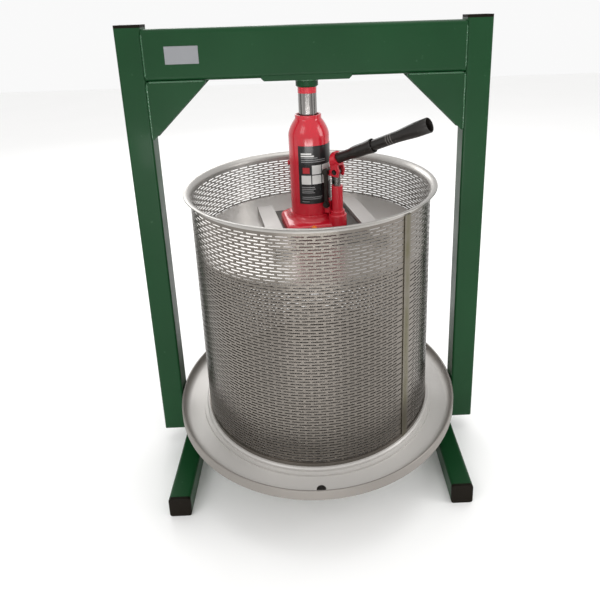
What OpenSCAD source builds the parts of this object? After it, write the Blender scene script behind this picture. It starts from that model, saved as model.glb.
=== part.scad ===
// Hydraulic fruit press: welded portal frame, juice tray, slotted basket and a bottle jack on a press plate.
// Millimetres, +Z up. The origin is on the floor, on the common axis of basket, plate and jack.
// The front of the press faces -Y.

/* [Frame] */
// Top of the upright tubes above the floor
upright_top = 874; // [820:1:960]
// Width of an upright tube, left to right
upright_w = 46; // [36:1:70]
// Depth of an upright tube and of the top beam, front to back
upright_d = 40; // [36:1:60]
// Outer corner radius of the upright tubes
upright_corner = 4; // [2:0.5:6]
// Wall of the frame tubes
tube_wall = 3; // [2:0.5:5]
// Height of the top beam
beam_h = 91; // [60:1:120]
// How far the top of the beam lies below the top of the uprights
beam_drop = 3; // [0:0.5:10]
// Outer corner radius of the top beam
beam_corner = 8; // [4:0.5:12]
// Leg of a corner gusset
gusset_leg = 105; // [60:1:140]
// Thickness of the gussets
gusset_t = 5; // [3:0.5:8]
// Blunt end of a gusset
gusset_nose = 4; // [2:0.5:10]
// Length of the strip under the beam
strip_l = 162; // [100:1:240]
// Thickness of the strip under the beam
strip_t = 5; // [4:0.5:10]
// Diameter of the boss that the ram pushes on
boss_d = 41; // [41:0.5:60]
// Height of the ram boss
boss_h = 13.5; // [10:0.5:26]
// Depth of the shallow socket in the ram boss
boss_socket = 3; // [1:0.5:6]
// Thickness of an end cap outside its tube
cap_t = 5; // [3:0.5:8]
// Length of an end cap's plug inside its tube
cap_plug = 14; // [8:1:24]
// Width of the blank rating plate
rating_w = 59; // [40:1:90]
// Height of the blank rating plate
rating_h = 31; // [20:1:40]
// Thickness of the rating plate
rating_t = 0.6; // [0.4:0.1:1.5]
// Gap between the left upright and the rating plate
rating_inset = 38; // [10:1:80]
// Gap between the top of the beam and the rating plate
rating_drop = 30; // [14:1:40]

/* [Feet and lower beam] */
// Side of a square foot tube
foot_size = 40; // [30:1:50]
// Length of a foot tube, front to back
foot_len = 388; // [300:2:560]
// Outer corner radius of the foot tubes
foot_corner = 5; // [2:0.5:7]
// Gap between the inner side of an upright and its foot
foot_inset = 3; // [1:0.5:12]
// Height of the lower beam between the uprights
tie_h = 76; // [40:1:100]
// Side of an arm that carries the tray
arm_size = 30; // [20:1:36]
// Length of an arm from the lower beam
arm_l = 165; // [80:1:180]
// Distance of an arm from the middle of the lower beam
arm_x = 110; // [60:1:130]

/* [Tray] */
// Width of the tray between the foot of the base plate and the outside of the hem
trough_w = 44.5; // [42:0.5:60]
// Height of the tray over its hem
tray_h = 18; // [16:0.5:40]
// Sheet thickness of the tray
tray_sheet = 2; // [1.5:0.5:3]
// Gap between the tray's hem and an upright
tray_gap = 1; // [0.5:0.5:6]
// Radius of the rolled hem round the tray
bead_r = 2; // [1.5:0.5:4]
// Radius of the bend between the floor and the wall of the tray
tray_bend = 5; // [4:0.5:10]
// How much the tray's wall leans outwards
tray_lean = 5; // [2:0.5:8]
// How far the base plate stands out from the basket
base_margin = 6.5; // [4:0.5:10]
// How far the foot of the base plate stands out from its top
base_step = 6.5; // [3:0.5:8]
// Height of the foot of the base plate
base_foot_h = 4; // [3:0.5:10]
// Thickness of the base plate above its foot
base_plate_t = 6.5; // [4:0.5:12]
// Outer diameter of the drain spout
spout_d = 16; // [10:0.5:18]
// Gap between the drain spout and the bend of the tray
spout_margin = 0.75; // [0.5:0.25:4]
// Wall of the drain spout
spout_wall = 2; // [1:0.5:3]
// Length of the spout below the tray
spout_len = 12; // [6:1:40]

/* [Basket] */
// Outer radius of the basket wall
basket_r = 226.5; // [200:0.5:240]
// Height of the basket with its rim
basket_h = 452; // [430:1:470]
// Sheet thickness of the basket
basket_sheet = 2; // [1.5:0.5:3]
// How far the rim stands out from the wall
rim_w = 12.5; // [8:0.5:20]
// Height over which the rim flares out
rim_h = 12; // [8:0.5:20]
// Height of the hoop round the foot of the basket
hoop_h = 7; // [6:0.5:20]
// Thickness of the hoop and of the seam strip
hoop_t = 1.5; // [1:0.5:3]
// Width of the strip over the vertical seam
seam_w = 16; // [10:1:30]
// Direction of the seam, from the front towards +X
seam_turn = 44; // [0:1:90]
// Slots in a row
slot_count = 18; // [8:1:30]
// Rows of slots
slot_rows = 14; // [6:1:24]
// Length of a slot
slot_l = 60; // [12:1:110]
// Height of a slot
slot_h = 6; // [2:0.5:10]
// Plain band above and below the slots
slot_band = 30; // [26:1:60]

/* [Press plate] */
// Gap between the press plate and the basket
plate_gap = 4; // [2:0.5:10]
// Sheet thickness of the press plate
plate_t = 4; // [3:0.5:8]
// Depth of the plate's turned-down skirt
skirt_h = 18; // [10:1:40]
// Turn of the bars and the jack on the plate
jack_turn = 12; // [0:1:30]
// Length of a bar on the plate
bar_l = 222; // [160:2:300]
// Width of a bar
bar_w = 32; // [20:1:40]
// Height of a bar
bar_h = 15; // [10:0.5:24]
// Wall of a bar
bar_wall = 3; // [2:0.5:4]
// Distance of a bar from the middle of the plate
bar_x = 91; // [91:0.5:110]
// Offset of both bars from the middle of the plate
bar_shift = 14; // [10:1:16]
// Gap between a bar and the pad under the jack
pad_gap = 1; // [0.5:0.5:18]
// Length of the pad under the jack
pad_l = 190; // [140:2:220]
// Thickness of the pad under the jack
pad_t = 6; // [3:0.5:10]

/* [Jack] */
// Width of the jack base
base_w = 108; // [100:1:112]
// Depth of the jack base
base_d = 112; // [108:1:130]
// Height of the slab of the jack base
slab_h = 18; // [16:0.5:22]
// Height of the whole jack base under the reservoir
base_h = 33.5; // [28:0.5:40]
// Corner cut of the jack base
base_corner = 16; // [8:1:24]
// Outer radius of the reservoir
tank_r = 38.5; // [37:0.25:40]
// Wall of the reservoir
tank_wall = 3; // [2:0.5:4]
// Height of the reservoir with its neck
tank_h = 187; // [170:1:205]
// Height of the reservoir's shoulder
shoulder_h = 32; // [20:1:44]
// Height of the neck above the shoulder
neck_h = 8; // [7:0.5:14]
// Wall of the neck
neck_wall = 4; // [3:0.5:5]
// Radius of the ram
ram_r = 17; // [15:0.25:17.5]
// Length of bare ram above the neck at rest
ram_out = 39.5; // [30:0.5:50]
// Height of the saddle on the ram
saddle_h = 14; // [10:0.5:18]
// How much the saddle's radius exceeds the ram's
saddle_over = 0.4; // [0:0.1:1]
// Wall of the gland bush between ram and neck
gland_wall = 3.5; // [3:0.25:5]
// Height of the gland bush inside the neck
gland_h = 19; // [14:0.5:24]
// Height of the gland bush's flange
gland_flange = 6; // [4:0.5:8]
// Step between the ram and the bore of the cylinder
cylinder_step = 2; // [1.5:0.25:3]
// Wall of the cylinder
cylinder_wall = 4; // [3:0.25:5]
// Depth of the cylinder's seat in the jack base
cylinder_seat = 12; // [6:0.5:14]
// Height of the piston
piston_h = 20; // [14:0.5:26]
// Height of the piston seal
seal_h = 4; // [2:0.5:6]
// Depth of the piston seal's groove
seal_groove = 1.5; // [1:0.25:2]
// Bottom of the label above the jack base
label_z = 23; // [10:1:36]
// Height of the label
label_h = 111; // [60:1:112]
// Sweep of the label round the reservoir
label_sweep = 130; // [60:1:150]
// Left edge of the label, from the front
label_start = -32; // [-60:1:0]
// Thickness of the label
label_t = 0.4; // [0.3:0.1:1]
// Height of the filler plug above the jack base
plug_z = 95; // [60:1:120]
// Radius of the filler plug's head
plug_r = 5; // [4:0.5:7]
// Radius of the release valve's head
valve_r = 6.5; // [5.5:0.5:7]
// Length of the release valve's head
valve_l = 11; // [8:0.5:16]
// Radius of the release valve's stem
valve_stem_r = 4.5; // [3:0.25:5]
// Length of the release valve's stem
valve_stem_l = 18; // [10:0.5:22]
// Offset of the release valve from the middle of the base
valve_x = -8; // [-30:1:4]
// Height of the release valve above the foot of the jack base
valve_z = 10.5; // [8:0.5:11]

/* [Pump and handle] */
// Direction of the pump, from +X towards the front
pump_turn = 36; // [20:1:50]
// Distance of the pump from the jack's axis
pump_r = 61; // [61:0.5:66]
// Radius of the pump boss on the jack base
pump_boss_r = 17; // [14.5:0.5:18]
// Height of the pump boss above the jack base's foot
pump_boss_h = 43; // [36:1:50]
// Outer radius of the pump barrel
barrel_r = 10.5; // [9.5:0.25:10.5]
// Length of the pump barrel
barrel_l = 81; // [70:1:90]
// Radius of the pump plunger
plunger_r = 6.5; // [5:0.25:7]
// Height of the fulcrum above the pump barrel
fulcrum_h = 27; // [25:0.5:36]
// Distance of the fulcrum from the pump's axis
lever = 15.5; // [15.5:0.25:18]
// Radius of the fulcrum pin
fulcrum_pin_r = 4; // [3:0.25:4.25]
// Radius of the plunger pin and the lower link pin
pin_r = 3.5; // [2.5:0.25:3.5]
// Thickness of a link plate and of a socket cheek
link_t = 4; // [3:0.25:5]
// Half the width of a link plate
link_r = 6.5; // [6:0.25:6.5]
// Height of the lower link pin above the pump boss
link_pin_h = 11; // [9:0.5:16]
// Half the width of the plunger's eye across the pin
eye_half = 6.8; // [5:0.2:7.4]
// Radius of the plunger's eye
eye_r = 7; // [6:0.25:7]
// Outer radius of the handle socket
socket_r = 14; // [13:0.25:14.5]
// Length of the handle socket
socket_l = 19; // [16:1:30]
// Height of the socket's axis above the fulcrum
socket_h = 22; // [22:0.5:28]
// Rise of the handle above level
handle_rise = 24; // [20:1:30]
// Radius of the handle tubes
handle_r = 9.8; // [8:0.1:10]
// Wall of the handle tubes
handle_wall = 1.6; // [1:0.2:2]
// Distance of the joint between the handle tubes from the socket
joint_s = 89; // [86:1:140]
// Length of the outer tube's spigot inside the inner tube
spigot_l = 36; // [30:1:40]
// Distance of the handle's end from the socket
handle_end_s = 201; // [196:1:400]
// Radius of the flared end of a handle tube
flare_r = 12.9; // [12.6:0.1:15]
// Length of the flare of the outer tube
flare_l = 60; // [40:1:80]
// Length of the straight mouth at the handle's end
mouth_l = 16; // [12:1:24]

/* [Clearances] */
// Gap between the saddle and the floor of the boss socket
seat_gap = 0.3; // [0.1:0.1:0.6]
// Radial play of the ram, piston, plunger and pins
running_fit = 0.05; // [0.02:0.01:0.1]
// Radial play of pieces that are set into each other for good
set_fit = 0.05; // [0.02:0.01:0.1]
// Radial play of the handle tubes in their sockets
slip_fit = 0.3; // [0.2:0.05:0.5]
// Side play of the lever's cheeks
side_play = 0.3; // [0.2:0.05:0.5]
// Room of the plunger pin in the lever's cheeks
pin_room = 1.7; // [1.5:0.1:2]

/* [Hidden] */
$fn = 72;

green = [0.14, 0.32, 0.18];
black = [0.12, 0.11, 0.10];
steel = [0.72, 0.71, 0.69];
dark_steel = [0.30, 0.29, 0.28];
red = [0.72, 0.12, 0.14];
chrome = [0.80, 0.80, 0.82];
orange = [0.95, 0.50, 0.10];
corner_steps = 4;
curve_steps = 8;
through = 1;

// Base plate and tray, outwards from the basket
basket_in = basket_r - basket_sheet;
base_r = basket_r + base_margin;
base_foot_r = base_r + base_step;
tray_r = base_foot_r + trough_w;
tray_wall_r = tray_r - bead_r + tray_sheet / 2;
tray_foot_r = tray_wall_r - tray_lean;
trough_out = tray_foot_r - tray_bend;
spout_r = spout_d / 2;
drain_r = trough_out - spout_margin - spout_r;

// Frame
frame_in = tray_r + tray_gap;
upright_x = frame_in + upright_w / 2;
beam_top = upright_top - beam_drop;
beam_z = beam_top - beam_h;
strip_z = beam_z - strip_t;
boss_z = strip_z - boss_h;
boss_rim = 2;
foot_x = frame_in - foot_inset - foot_size / 2;
cap_play = 0.15;

// Tray and basket, stacked on the lower beam
tray_z = foot_size + tie_h;
tray_floor_z = tray_z + tray_sheet;
bead_z = tray_h - bead_r;
base_plate_h = base_foot_h + base_plate_t;
basket_z = tray_floor_z + base_plate_h;
rim_z = basket_z + basket_h;
shell_h = basket_h - rim_h;
seam_angle = seam_turn - 90;
seam_sweep = 360 * seam_w / (2 * PI * basket_r);
slot_sweep = 360 / (slot_count + 1);
slot_pitch = (shell_h - 2 * slot_band - slot_h) / (slot_rows - 1);

// Jack and press plate, hung from the boss by the ram's length
saddle_z = boss_z + boss_socket - seat_gap - saddle_h;
neck_z = saddle_z - ram_out;
base_top = neck_z - tank_h;
base_z = base_top - base_h;
plate_top = base_z - pad_t;
pad_w = 2 * (bar_x - pad_gap) - bar_w;
plate_r = basket_in - plate_gap;
skirt_r1 = base_d / 2 - 3;
skirt_r2 = tank_r + 4;
shoulder_z = neck_z - neck_h - shoulder_h;
shoulder_power = 1.7;
neck_in = ram_r + gland_wall + set_fit;
neck_r = neck_in + neck_wall;
gland_recess = 3;
gland_z = neck_z - gland_recess - gland_h;
bore_r = ram_r + cylinder_step;
cylinder_r = bore_r + cylinder_wall;
cylinder_z = base_top - cylinder_seat;
cylinder_top = gland_z - gland_flange;
piston_rest = 2;
piston_z = cylinder_z + ram_out + piston_rest;
piston_top = piston_z + piston_h;
plug_stem_r = plug_r - 1.5;
plug_head = 3;

// Pump and handle, outward from the jack's axis
barrel_foot = 10;
barrel_top = base_z + barrel_foot + barrel_l;
fulcrum_z = barrel_top + fulcrum_h;
boss_top = base_z + pump_boss_h;
link_pin_z = boss_top + link_pin_h;
link_gap = eye_half + side_play + link_t + side_play;
pin_half = link_gap + link_t + 3;
head_r = 1.6;
head_t = 2;
lug_out = barrel_r + 0.4;
lug_in = lever + link_r;
plunger_foot = 14;
socket_x = -4.5;
socket_z = fulcrum_z + socket_h;
socket_back = 9;
socket_cut = 12;
socket_in = handle_r + slip_fit;
sleeve_r = handle_r + slip_fit + handle_wall;
sleeve_foot = joint_s - spigot_l - 2;
sleeve_cone = 16;
sleeve_end = sleeve_foot + spigot_l;
tube_foot = -2;
spigot_s = joint_s - spigot_l;

// Outline helpers
function corner_arc(x, y, r, start) =
    [for (i = [0:corner_steps]) let (a = start + 90 * i / corner_steps) [x + r * cos(a), y + r * sin(a)]];

function round_rect(w, d, r) = concat(
    corner_arc(w / 2 - r, d / 2 - r, r, 0),
    corner_arc(r - w / 2, d / 2 - r, r, 90),
    corner_arc(r - w / 2, r - d / 2, r, 180),
    corner_arc(w / 2 - r, r - d / 2, r, 270)
);

// Radius of the reservoir's shoulder at a share t of its height
function shoulder_at(t) = neck_r + (tank_r - neck_r) * (1 - pow(t, shoulder_power));

module tube_section(w, d, r) {
    difference() {
        polygon(round_rect(w, d, r));
        polygon(round_rect(w - 2 * tube_wall, d - 2 * tube_wall, max(r - tube_wall, 1)));
    }
}

module ring(r_out, r_in, h) {
    difference() {
        cylinder(r = r_out, h = h);
        translate([0, 0, -through]) cylinder(r = r_in, h = h + 2 * through);
    }
}

// Frames of reference: along X, along Y, the jack's own turn, the pump and the handle
module along_x() {
    rotate([90, 0, 90]) children();
}

module along_y() {
    rotate([90, 0, 0]) children();
}

module at_jack() {
    rotate([0, 0, jack_turn]) children();
}

module at_pump() {
    rotate([0, 0, -pump_turn]) translate([pump_r, 0, 0]) children();
}

module at_handle() {
    at_pump() translate([socket_x, 0, socket_z]) rotate([0, 90 - handle_rise, 0]) children();
}

// Cap with a plug, its flange upwards
module end_cap(w, d, r) {
    linear_extrude(cap_t) polygon(round_rect(w, d, r));
    inner_w = w - 2 * (tube_wall + cap_play);
    inner_d = d - 2 * (tube_wall + cap_play);
    translate([0, 0, -cap_plug]) linear_extrude(cap_plug)
        polygon(round_rect(inner_w, inner_d, max(r - tube_wall, 1)));
}

// Welded portal frame
module upright(side) {
    color(green) translate([side * upright_x, 0, foot_size]) linear_extrude(upright_top - foot_size)
        tube_section(upright_w, upright_d, upright_corner);
}

module upright_left() {
    upright(-1);
}

module upright_right() {
    upright(1);
}

module top_beam() {
    color(green) translate([-frame_in, 0, beam_z + beam_h / 2]) along_x() linear_extrude(2 * frame_in)
        tube_section(upright_d, beam_h, beam_corner);
}

module corner_gussets() {
    outline = [
        [0, 0], [-gusset_leg, 0], [-gusset_leg, -gusset_nose], [-gusset_nose, -gusset_leg], [0, -gusset_leg]
    ];
    color(green) for (side = [0, 1], y = [gusset_t - upright_d / 2, upright_d / 2])
        mirror([side, 0, 0]) translate([frame_in, y, beam_z]) along_y()
            linear_extrude(gusset_t) polygon(outline);
}

module beam_strip() {
    half = strip_l / 2;
    color(green) translate([0, upright_d / 2, beam_z]) along_y() linear_extrude(upright_d)
        polygon([[-half, 0], [half, 0], [half - strip_t, -strip_t], [strip_t - half, -strip_t]]);
}

module ram_boss() {
    r = boss_d / 2;
    socket = ram_r + saddle_over + 1;
    color(green) translate([0, 0, boss_z]) rotate_extrude() polygon([
        [0, boss_h], [r, boss_h], [r, boss_rim], [r - boss_rim, 0],
        [socket, 0], [socket, boss_socket], [0, boss_socket]
    ]);
}

module rating_plate() {
    rating_z = beam_top - rating_drop - rating_h;
    color(steel) translate([rating_inset - frame_in, -upright_d / 2 - rating_t, rating_z])
        cube([rating_w, rating_t, rating_h]);
}

module upright_caps() {
    color(black) for (side = [-1, 1])
        translate([side * upright_x, 0, upright_top]) end_cap(upright_w, upright_d, upright_corner);
}

module foot(side) {
    color(green) translate([side * foot_x, foot_len / 2, foot_size / 2]) along_y() linear_extrude(foot_len)
        tube_section(foot_size, foot_size, foot_corner);
}

module foot_left() {
    foot(-1);
}

module foot_right() {
    foot(1);
}

module foot_caps() {
    color(black) for (side = [-1, 1], turn = [0, 180])
        translate([side * foot_x, 0, foot_size / 2]) rotate([0, 0, turn]) translate([0, -foot_len / 2, 0])
            along_y() end_cap(foot_size, foot_size, foot_corner);
}

module lower_tie() {
    color(green) translate([-frame_in, 0, foot_size + tie_h / 2]) along_x() linear_extrude(2 * frame_in)
        tube_section(upright_d, tie_h, upright_corner);
}

module tray_arms() {
    color(green) for (side = [-1, 1], turn = [0, 180])
        rotate([0, 0, turn]) translate([side * arm_x, upright_d / 2 + arm_l, tray_z - arm_size / 2])
            along_y() linear_extrude(arm_l) tube_section(arm_size, arm_size, upright_corner);
}

// Juice tray
module tray_section() {
    r = tray_bend;
    foot = tray_foot_r - r;
    outer = [for (i = [0:curve_steps]) let (a = 90 * i / curve_steps) [foot + r * sin(a), r - r * cos(a)]];
    inner = [for (i = [curve_steps:-1:0])
        let (a = 90 * i / curve_steps, q = r - tray_sheet) [foot + q * sin(a), r - q * cos(a)]];
    polygon(concat(
        [[0, 0]], outer, [[tray_wall_r, bead_z], [tray_wall_r - tray_sheet, bead_z]], inner, [[0, tray_sheet]]
    ));
    translate([tray_r - bead_r, bead_z]) circle(bead_r);
    translate([tray_r - tray_sheet, 0]) square([tray_sheet, bead_z]);
}

module tray_pan() {
    color(steel) difference() {
        translate([0, 0, tray_z]) rotate_extrude() tray_section();
        translate([0, -drain_r, tray_z - through])
            cylinder(r = spout_r + set_fit, h = tray_sheet + 2 * through);
    }
}

// Flat disc on a wider foot
module base_plate() {
    edge = 2;
    color(steel) translate([0, 0, tray_floor_z]) rotate_extrude() polygon([
        [0, 0], [base_foot_r, 0], [base_foot_r, base_foot_h],
        [base_r, base_foot_h], [base_r, base_plate_h - edge],
        [base_r - edge, base_plate_h], [0, base_plate_h]
    ]);
}

module drain_spout() {
    color(steel) translate([0, -drain_r, tray_z - spout_len])
        ring(spout_r, spout_r - spout_wall, spout_len + tray_sheet);
}

// Slotted basket
module basket_slot(angle, z) {
    rotate([0, 0, angle]) translate([basket_in - through, -slot_l / 2, z])
        cube([basket_sheet + 2 * through, slot_l, slot_h]);
}

module basket_shell() {
    color(steel) translate([0, 0, basket_z]) difference() {
        ring(basket_r, basket_in, shell_h);
        for (row = [0:slot_rows - 1], i = [1:slot_count - row % 2])
            basket_slot(seam_angle + (i + row % 2 / 2) * slot_sweep, slot_band + row * slot_pitch);
    }
}

// Trumpet-shaped lip: upright where it meets the shell, level at its edge
module basket_rim() {
    upper = [for (i = [0:curve_steps]) let (a = 90 * i / curve_steps)
        [basket_in + (rim_w + basket_sheet) * (1 - cos(a)), rim_h * (sin(a) - 1)]];
    lower = [for (i = [curve_steps:-1:0]) let (a = 90 * i / curve_steps)
        [basket_r + rim_w * (1 - cos(a)), (rim_h - basket_sheet) * sin(a) - rim_h]];
    color(steel) translate([0, 0, rim_z]) rotate_extrude() polygon(concat(upper, lower));
}

module basket_hoop() {
    color(steel) translate([0, 0, basket_z]) ring(basket_r + set_fit + hoop_t, basket_r + set_fit, hoop_h);
}

module basket_seam() {
    h = shell_h - hoop_h;
    color(steel) translate([0, 0, basket_z + hoop_h]) rotate([0, 0, seam_angle - seam_sweep / 2])
        rotate_extrude(angle = seam_sweep) translate([basket_r + set_fit, 0]) square([hoop_t, h]);
}

// Press plate with its bars and the pad under the jack
module press_plate() {
    edge = 2;
    color(steel) translate([0, 0, plate_top]) rotate_extrude() polygon([
        [0, 0], [plate_r - edge, 0], [plate_r, -edge], [plate_r, -skirt_h], [plate_r - plate_t, -skirt_h],
        [plate_r - plate_t, -plate_t], [0, -plate_t]
    ]);
}

module plate_bars() {
    half = bar_w / 2;
    color(steel) at_jack() for (side = [-1, 1])
        translate([bar_shift + side * bar_x, bar_l / 2, plate_top]) along_y() linear_extrude(bar_l) polygon([
            [-half, 0], [-half, bar_h], [half, bar_h], [half, 0], [half - bar_wall, 0],
            [half - bar_wall, bar_h - bar_wall], [bar_wall - half, bar_h - bar_wall], [bar_wall - half, 0]
        ]);
}

module jack_pad() {
    color(dark_steel) at_jack() translate([bar_shift - pad_w / 2, -pad_l / 2, plate_top])
        cube([pad_w, pad_l, pad_t]);
}

// Bottle jack
module base_slab() {
    x = base_w / 2;
    y = base_d / 2;
    c = base_corner;
    linear_extrude(slab_h)
        polygon([
            [x - c, -y], [x, c - y], [x, y - c], [x - c, y],
            [c - x, y], [-x, y - c], [-x, c - y], [c - x, -y]
        ]);
}

module jack_base() {
    color(red) difference() {
        union() {
            translate([0, 0, base_z]) at_jack() base_slab();
            translate([0, 0, base_z + slab_h]) cylinder(r1 = skirt_r1, r2 = skirt_r2, h = base_h - slab_h);
            at_pump() translate([0, 0, base_z]) cylinder(r = pump_boss_r, h = pump_boss_h);
            at_pump() translate([-lug_in, side_play - link_gap, boss_top - link_r])
                cube([lug_in - lug_out, 2 * (link_gap - side_play), link_pin_h + 2 * link_r]);
        }
        translate([0, 0, cylinder_z]) cylinder(r = cylinder_r + set_fit, h = cylinder_seat + through);
        translate([0, 0, base_top]) cylinder(r = tank_r + set_fit, h = tank_h);
        at_pump() translate([0, 0, base_z + barrel_foot]) cylinder(r = barrel_r + set_fit, h = barrel_l);
        at_pump() translate([-lever, link_gap, link_pin_z]) along_y()
            cylinder(r = pin_r + set_fit, h = 2 * link_gap);
        at_jack() translate([valve_x, through - base_d / 2 + valve_stem_l, base_z + valve_z]) along_y()
            cylinder(r = valve_stem_r + running_fit, h = valve_stem_l + 2 * through);
    }
}

module reservoir() {
    outer = [for (i = [0:curve_steps])
        [shoulder_at(i / curve_steps), shoulder_z + shoulder_h * i / curve_steps]];
    inner = [for (i = [curve_steps:-1:0])
        [max(shoulder_at(i / curve_steps) - tank_wall, neck_in), shoulder_z + shoulder_h * i / curve_steps]];
    color(red) difference() {
        rotate_extrude() polygon(concat(
            [[tank_r, base_top]], outer, [[neck_r, neck_z], [neck_in, neck_z]], inner,
            [[tank_r - tank_wall, base_top]]
        ));
        translate([0, 0, base_top + plug_z]) rotate([0, -90, 0])
            cylinder(r = plug_stem_r + set_fit, h = tank_r + through);
    }
}

module gland_bush() {
    r = neck_in - set_fit;
    color(dark_steel) translate([0, 0, gland_z]) {
        ring(r, ram_r + running_fit, gland_h);
        translate([0, 0, -gland_flange]) ring(cylinder_r, ram_r + running_fit, gland_flange);
    }
}

module cylinder_tube() {
    color(dark_steel) translate([0, 0, cylinder_z]) ring(cylinder_r, bore_r, cylinder_top - cylinder_z);
}

module jack_label() {
    color(black) translate([0, 0, base_top + label_z]) rotate([0, 0, label_start - 90])
        rotate_extrude(angle = label_sweep) translate([tank_r + set_fit, 0]) square([label_t, label_h]);
}

module filler_plug() {
    color(red) translate([-tank_r - plug_head, 0, base_top + plug_z]) rotate([0, 90, 0]) {
        cylinder(r = plug_r, h = plug_head - through / 2);
        cylinder(r = plug_stem_r, h = plug_head + tank_wall);
    }
}

module release_valve() {
    slot = 2;
    color(orange) at_jack() translate([valve_x, -base_d / 2, base_z + valve_z]) difference() {
        union() {
            translate([0, -side_play, 0]) along_y() cylinder(r = valve_r, h = valve_l);
            translate([0, valve_stem_l, 0]) along_y()
                cylinder(r = valve_stem_r, h = valve_stem_l + side_play + through);
        }
        translate([-valve_r, -valve_l - side_play - through, -slot / 2])
            cube([2 * valve_r, slot + through, slot]);
    }
}

// Ram
module ram_rod() {
    color(chrome) translate([0, 0, piston_top]) cylinder(r = ram_r, h = saddle_z - piston_top);
}

module ram_piston() {
    r = bore_r - running_fit;
    groove = r - seal_groove;
    low = (piston_h - seal_h) / 2;
    color(dark_steel) translate([0, 0, piston_z]) rotate_extrude() polygon([
        [0, 0], [r, 0], [r, low], [groove, low],
        [groove, low + seal_h], [r, low + seal_h], [r, piston_h], [0, piston_h]
    ]);
}

module piston_seal() {
    groove = bore_r - running_fit - seal_groove + set_fit;
    color(black) translate([0, 0, piston_z + (piston_h - seal_h) / 2])
        ring(bore_r - running_fit / 2, groove, seal_h);
}

module ram_saddle() {
    r = ram_r + saddle_over;
    edge = 1;
    color(red) translate([0, 0, saddle_z]) rotate_extrude() polygon([
        [0, 0], [r, 0], [r, saddle_h - edge], [r - edge, saddle_h], [0, saddle_h]
    ]);
}

// Pump
module pump_barrel() {
    color(red) at_pump() translate([0, 0, base_z + barrel_foot])
        ring(barrel_r, plunger_r + running_fit, barrel_l);
}

module link_plate(y) {
    translate([-lever, y, 0]) along_y() linear_extrude(link_t) difference() {
        union() {
            translate([0, fulcrum_z]) circle(link_r);
            translate([0, link_pin_z]) circle(link_r);
            translate([-link_r, link_pin_z]) square([2 * link_r, fulcrum_z - link_pin_z]);
        }
        translate([0, fulcrum_z]) circle(fulcrum_pin_r + set_fit);
        translate([0, link_pin_z]) circle(pin_r + set_fit);
    }
}

module link_plates() {
    color(dark_steel) at_pump() {
        link_plate(-link_gap);
        link_plate(link_gap + link_t);
    }
}

// Pin along the lever's axis with a head on each side of the links
module headed_pin(r, z) {
    translate([-lever, pin_half, z]) along_y() {
        cylinder(r = r, h = 2 * pin_half);
        cylinder(r = r + head_r, h = head_t);
        translate([0, 0, 2 * pin_half - head_t]) cylinder(r = r + head_r, h = head_t);
    }
}

module link_pins() {
    color(dark_steel) at_pump() {
        headed_pin(fulcrum_pin_r, fulcrum_z);
        headed_pin(pin_r, link_pin_z);
    }
}

module pump_plunger() {
    color(chrome) at_pump() difference() {
        union() {
            translate([0, 0, base_z + barrel_foot + plunger_foot])
                cylinder(r = plunger_r, h = fulcrum_z - base_z - barrel_foot - plunger_foot);
            translate([0, eye_half, fulcrum_z]) along_y() cylinder(r = eye_r, h = 2 * eye_half);
        }
        translate([0, eye_half + through, fulcrum_z]) along_y()
            cylinder(r = pin_r + set_fit, h = 2 * (eye_half + through));
    }
}

module plunger_pin() {
    half = eye_half + side_play + link_t;
    color(dark_steel) at_pump() translate([0, half, fulcrum_z]) along_y() cylinder(r = pin_r, h = 2 * half);
}

// Handle
module cheek(y) {
    translate([0, y, 0]) along_y() linear_extrude(link_t) difference() {
        union() {
            translate([-lever, fulcrum_z]) circle(link_r);
            polygon([
                [-lever, fulcrum_z - link_r], [9, fulcrum_z - link_r - 2], [11, fulcrum_z + 4],
                [5, socket_z], [-10, socket_z - 5], [-lever, fulcrum_z + link_r]
            ]);
        }
        translate([-lever, fulcrum_z]) circle(fulcrum_pin_r + running_fit);
        translate([0.6, fulcrum_z + 0.1]) circle(pin_r + pin_room);
    }
}

module handle_socket() {
    color(red) difference() {
        union() {
            at_handle() translate([0, 0, -socket_back]) cylinder(r = socket_r, h = socket_l);
            at_pump() {
                cheek(-eye_half - side_play);
                cheek(eye_half + side_play + link_t);
            }
        }
        at_handle() translate([0, 0, -2 * socket_l]) cylinder(r = socket_in, h = 4 * socket_l);
        at_handle() along_y() linear_extrude(4 * socket_r, center = true) polygon([
            [socket_r + through, -socket_back], [-socket_r - through, socket_cut - socket_back],
            [-socket_r - through, -socket_l], [socket_r + through, -socket_l]
        ]);
    }
}

module handle_inner() {
    bell = 8;
    r_in = handle_r - handle_wall;
    sleeve_in = handle_r + slip_fit;
    color(black) at_handle() rotate_extrude() polygon([
        [handle_r, tube_foot], [handle_r, sleeve_foot - sleeve_cone],
        [sleeve_r, sleeve_foot], [sleeve_r, sleeve_end - bell],
        [flare_r, joint_s], [flare_r - handle_wall, joint_s],
        [sleeve_in, sleeve_end - bell], [sleeve_in, sleeve_foot],
        [r_in, sleeve_foot - sleeve_cone], [r_in, tube_foot]
    ]);
}

module handle_outer() {
    neck = handle_end_s - flare_l;
    mouth = handle_end_s - mouth_l;
    color(black) at_handle() rotate_extrude() polygon([
        [handle_r, spigot_s], [handle_r, neck], [flare_r, mouth], [flare_r, handle_end_s],
        [flare_r - handle_wall, handle_end_s], [flare_r - handle_wall, mouth],
        [handle_r - handle_wall, neck], [handle_r - handle_wall, spigot_s]
    ]);
}

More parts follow.
